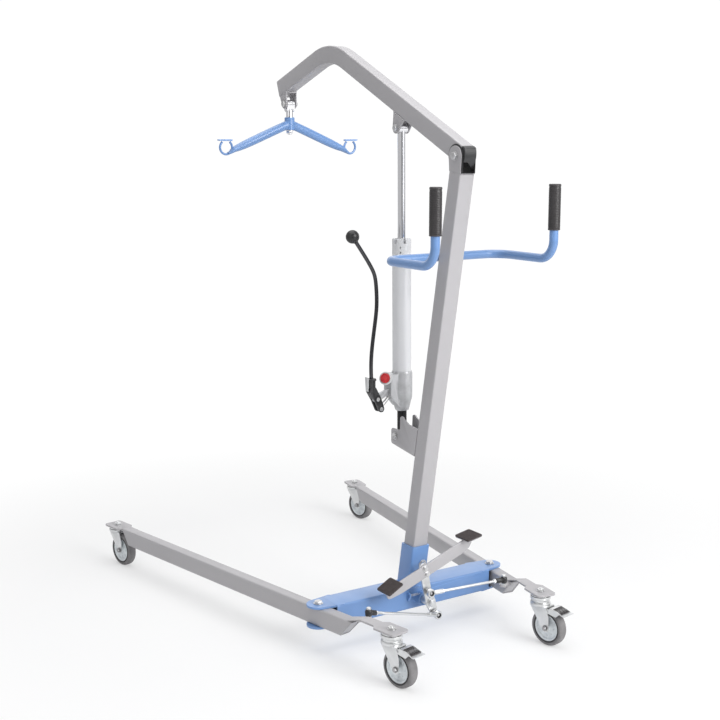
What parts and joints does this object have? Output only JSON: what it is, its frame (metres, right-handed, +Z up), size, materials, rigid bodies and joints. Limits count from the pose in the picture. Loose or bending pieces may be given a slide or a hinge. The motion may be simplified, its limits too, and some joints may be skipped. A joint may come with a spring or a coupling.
{
  "type": "patient lift hoist",
  "caption": "Wheeled patient hoist with spreading legs, leaning mast, hydraulic pump with lever, and a bent boom carrying a spreader bar with ring hooks.",
  "frame": {"origin": "on the floor, at the middle of the bounding box seen from above", "axes": "+Z up; -Y is the lifting side, where legs and boom point; +X is the side of the pump lever"},
  "size_m": [0.9568, 1.3524, 1.5757],
  "materials": {
    "black_plastic": "satin black",
    "black_rubber": "matt ribbed",
    "blue_powder_coat": "light blue powder coat",
    "cast_aluminium": "fine cast, light grey",
    "chrome": "polished",
    "dark_chrome": "dark polished",
    "grey_powder_coat": "silver-grey powder coat",
    "grey_rubber": "matt grey",
    "red_plastic": "red",
    "wheel_disc": "off-white moulded",
    "white_enamel": "white enamel, gloss",
    "zinc_plate": "zinc plated, satin"
  },
  "bodies": {
    "base": {"base_beam": "blue_powder_coat", "mast_socket": "blue_powder_coat", "pivot_bolt_px": "zinc_plate", "pivot_bolt_nx": "zinc_plate", "rocker_axle": "zinc_plate", "mast_tube": "grey_powder_coat", "mast_head": "grey_powder_coat", "head_liner": "black_plastic", "boom_pivot_bolt": "zinc_plate", "pump_bracket": "grey_powder_coat", "foot_pin": "zinc_plate", "handlebar": "blue_powder_coat", "grip_px": "black_rubber", "grip_nx": "black_rubber"},
    "boom": {"boom_tube": "grey_powder_coat", "boom_end_cap": "black_plastic", "rod_bracket": "grey_powder_coat", "rod_pin": "zinc_plate", "hanger_bracket": "grey_powder_coat", "hanger_pin": "zinc_plate"},
    "piston_rod": {"piston_rod": "chrome"},
    "pump": {"pump_cylinder": "white_enamel", "gland_collar": "white_enamel", "pump_body": "cast_aluminium", "foot_stud": "black_plastic"},
    "release_knob": {"release_knob": "red_plastic"},
    "lever": {"lever_socket": "black_plastic", "lever_rod": "dark_chrome", "lever_ball": "black_plastic"},
    "plunger": {"plunger": "zinc_plate"},
    "hanger": {"hanger_spindle": "chrome"},
    "spreader": {"spreader_bar": "blue_powder_coat"},
    "latch_px": {"latch_px": "blue_powder_coat"},
    "latch_nx": {"latch_nx": "blue_powder_coat"},
    "rocker": {"crank_plate": "zinc_plate", "pedal_bar": "grey_powder_coat", "pedal_pad_px": "black_rubber", "pedal_pad_nx": "black_rubber"},
    "leg_px": {"leg_px": "grey_powder_coat", "kingpin_front_px": "zinc_plate", "kingpin_rear_px": "zinc_plate"},
    "leg_nx": {"leg_nx": "grey_powder_coat", "kingpin_front_nx": "zinc_plate", "kingpin_rear_nx": "zinc_plate"},
    "tie_rod_px": {"tie_rod_px": "zinc_plate"},
    "tie_rod_nx": {"tie_rod_nx": "zinc_plate"},
    "fork_front_px": {"fork_front_px": "zinc_plate"},
    "wheel_front_px": {"wheel_front_px": "wheel_disc", "tyre_front_px": "grey_rubber"},
    "fork_rear_px": {"fork_rear_px": "zinc_plate"},
    "wheel_rear_px": {"wheel_rear_px": "wheel_disc", "tyre_rear_px": "grey_rubber"},
    "brake_px": {"brake_pedal_px": "zinc_plate"},
    "fork_front_nx": {"fork_front_nx": "zinc_plate"},
    "wheel_front_nx": {"wheel_front_nx": "wheel_disc", "tyre_front_nx": "grey_rubber"},
    "fork_rear_nx": {"fork_rear_nx": "zinc_plate"},
    "wheel_rear_nx": {"wheel_rear_nx": "wheel_disc", "tyre_rear_nx": "grey_rubber"},
    "brake_nx": {"brake_pedal_nx": "zinc_plate"}
  },
  "joints": [
    {"name": "boom_lift", "type": "hinge", "parent": "base", "child": "boom", "pos_m": [0, 0.52504, 1.281], "axis": [1, 0, 0], "range_deg": [-6, 52]},
    {"name": "rod_swing", "type": "hinge", "parent": "boom", "child": "piston_rod", "pos_m": [0, 0.26854, 1.3495], "axis": [1, 0, 0], "range_deg": [-54.9, 6.6]},
    {"name": "pump_stroke", "type": "slide", "parent": "piston_rod", "child": "pump", "axis": [0, -0.0133, 0.9999], "range_m": [-0.0271, 0.23102]},
    {"name": "release_turn", "type": "hinge", "parent": "pump", "child": "release_knob", "pos_m": [0.059, 0.28604, 0.699], "axis": [0.8165, 0.5103, 0.2702], "range_deg": [0, 180]},
    {"name": "lever_pump", "type": "hinge", "parent": "pump", "child": "lever", "pos_m": [0.084, 0.27754, 0.645], "axis": [0, 1, 0], "range_deg": [0, 40]},
    {"name": "plunger_push", "type": "slide", "parent": "pump", "child": "plunger", "axis": [-0.7422, 0, 0.6702], "range_m": [-0.0002, 0.02027]},
    {"name": "hanger_swing", "type": "hinge", "parent": "boom", "child": "hanger", "pos_m": [0, -0.30546, 1.423], "axis": [1, 0, 0], "range_deg": [-60, 30]},
    {"name": "spreader_swivel", "type": "hinge", "parent": "hanger", "child": "spreader", "pos_m": [0, -0.30546, 1.366], "axis": [0, 0, 1], "continuous": true},
    {"name": "latch_px_open", "type": "hinge", "parent": "spreader", "child": "latch_px", "pos_m": [0.1945, -0.30546, 1.3182], "axis": [0, -1, 0], "range_deg": [0, 40]},
    {"name": "latch_nx_open", "type": "hinge", "parent": "spreader", "child": "latch_nx", "pos_m": [-0.1945, -0.30546, 1.3182], "axis": [0, 1, 0], "range_deg": [0, 40]},
    {"name": "leg_px_spread", "type": "hinge", "parent": "base", "child": "leg_px", "pos_m": [0.286, 0.31054, 0.1], "axis": [0, 0, 1], "range_deg": [-9.5, 0]},
    {"name": "leg_nx_spread", "type": "hinge", "parent": "base", "child": "leg_nx", "pos_m": [-0.286, 0.31054, 0.1], "axis": [0, 0, 1], "range_deg": [-0.1, 9.6]},
    {"name": "rocker_tilt", "type": "hinge", "parent": "base", "child": "rocker", "pos_m": [-0.0125, 0.40054, 0.099], "axis": [0, 1, 0], "range_deg": [-42.57, 0.2]},
    {"name": "tie_rod_px_turn", "type": "hinge", "parent": "leg_px", "child": "tie_rod_px", "pos_m": [0.22179, 0.45082, 0.1366], "axis": [0, 0, 1], "range_deg": [-0.2, 12.17]},
    {"name": "tie_rod_nx_turn", "type": "hinge", "parent": "leg_nx", "child": "tie_rod_nx", "pos_m": [-0.22179, 0.45082, 0.1366], "axis": [0, 0, 1], "range_deg": [-12.36, 0.2]},
    {"name": "swivel_front_px", "type": "hinge", "parent": "leg_px", "child": "fork_front_px", "pos_m": [0.4461, -0.63906, 0.1], "axis": [0, 0, 1], "continuous": true},
    {"name": "roll_front_px", "type": "hinge", "parent": "fork_front_px", "child": "wheel_front_px", "pos_m": [0.44026, -0.60902, 0.05], "axis": [0.9816, 0.1908, 0], "continuous": true},
    {"name": "swivel_rear_px", "type": "hinge", "parent": "leg_px", "child": "fork_rear_px", "pos_m": [0.24055, 0.58013, 0.1], "axis": [0, 0, 1], "continuous": true},
    {"name": "roll_rear_px", "type": "hinge", "parent": "fork_rear_px", "child": "wheel_rear_px", "pos_m": [0.23471, 0.61017, 0.05], "axis": [0.9816, 0.1908, 0], "continuous": true},
    {"name": "brake_px_press", "type": "hinge", "parent": "fork_rear_px", "child": "brake_px", "pos_m": [0.23349, 0.61645, 0.0985], "axis": [-0.9816, -0.1908, 0], "range_deg": [0, 6]},
    {"name": "swivel_front_nx", "type": "hinge", "parent": "leg_nx", "child": "fork_front_nx", "pos_m": [-0.4461, -0.63906, 0.1], "axis": [0, 0, 1], "continuous": true},
    {"name": "roll_front_nx", "type": "hinge", "parent": "fork_front_nx", "child": "wheel_front_nx", "pos_m": [-0.45194, -0.60902, 0.05], "axis": [0.9816, 0.1908, 0], "continuous": true},
    {"name": "swivel_rear_nx", "type": "hinge", "parent": "leg_nx", "child": "fork_rear_nx", "pos_m": [-0.24055, 0.58013, 0.1], "axis": [0, 0, 1], "continuous": true},
    {"name": "roll_rear_nx", "type": "hinge", "parent": "fork_rear_nx", "child": "wheel_rear_nx", "pos_m": [-0.24638, 0.61017, 0.05], "axis": [0.9816, 0.1908, 0], "continuous": true},
    {"name": "brake_nx_press", "type": "hinge", "parent": "fork_rear_nx", "child": "brake_nx", "pos_m": [-0.24761, 0.61645, 0.0985], "axis": [-0.9816, -0.1908, 0], "range_deg": [0, 6]}
  ],
  "couplings": [
    {"joint": "rod_swing", "follows": "boom_lift", "ratio": -1.05},
    {"joint": "pump_stroke", "follows": "boom_lift", "m_per_rad": 0.254},
    {"joint": "plunger_push", "follows": "lever_pump", "m_per_rad": 0.0286},
    {"joint": "leg_nx_spread", "follows": "leg_px_spread", "ratio": -1},
    {"joint": "rocker_tilt", "follows": "leg_px_spread", "ratio": 4.46},
    {"joint": "tie_rod_px_turn", "follows": "leg_px_spread", "ratio": -1.26},
    {"joint": "tie_rod_nx_turn", "follows": "leg_px_spread", "ratio": 1.28}
  ]
}
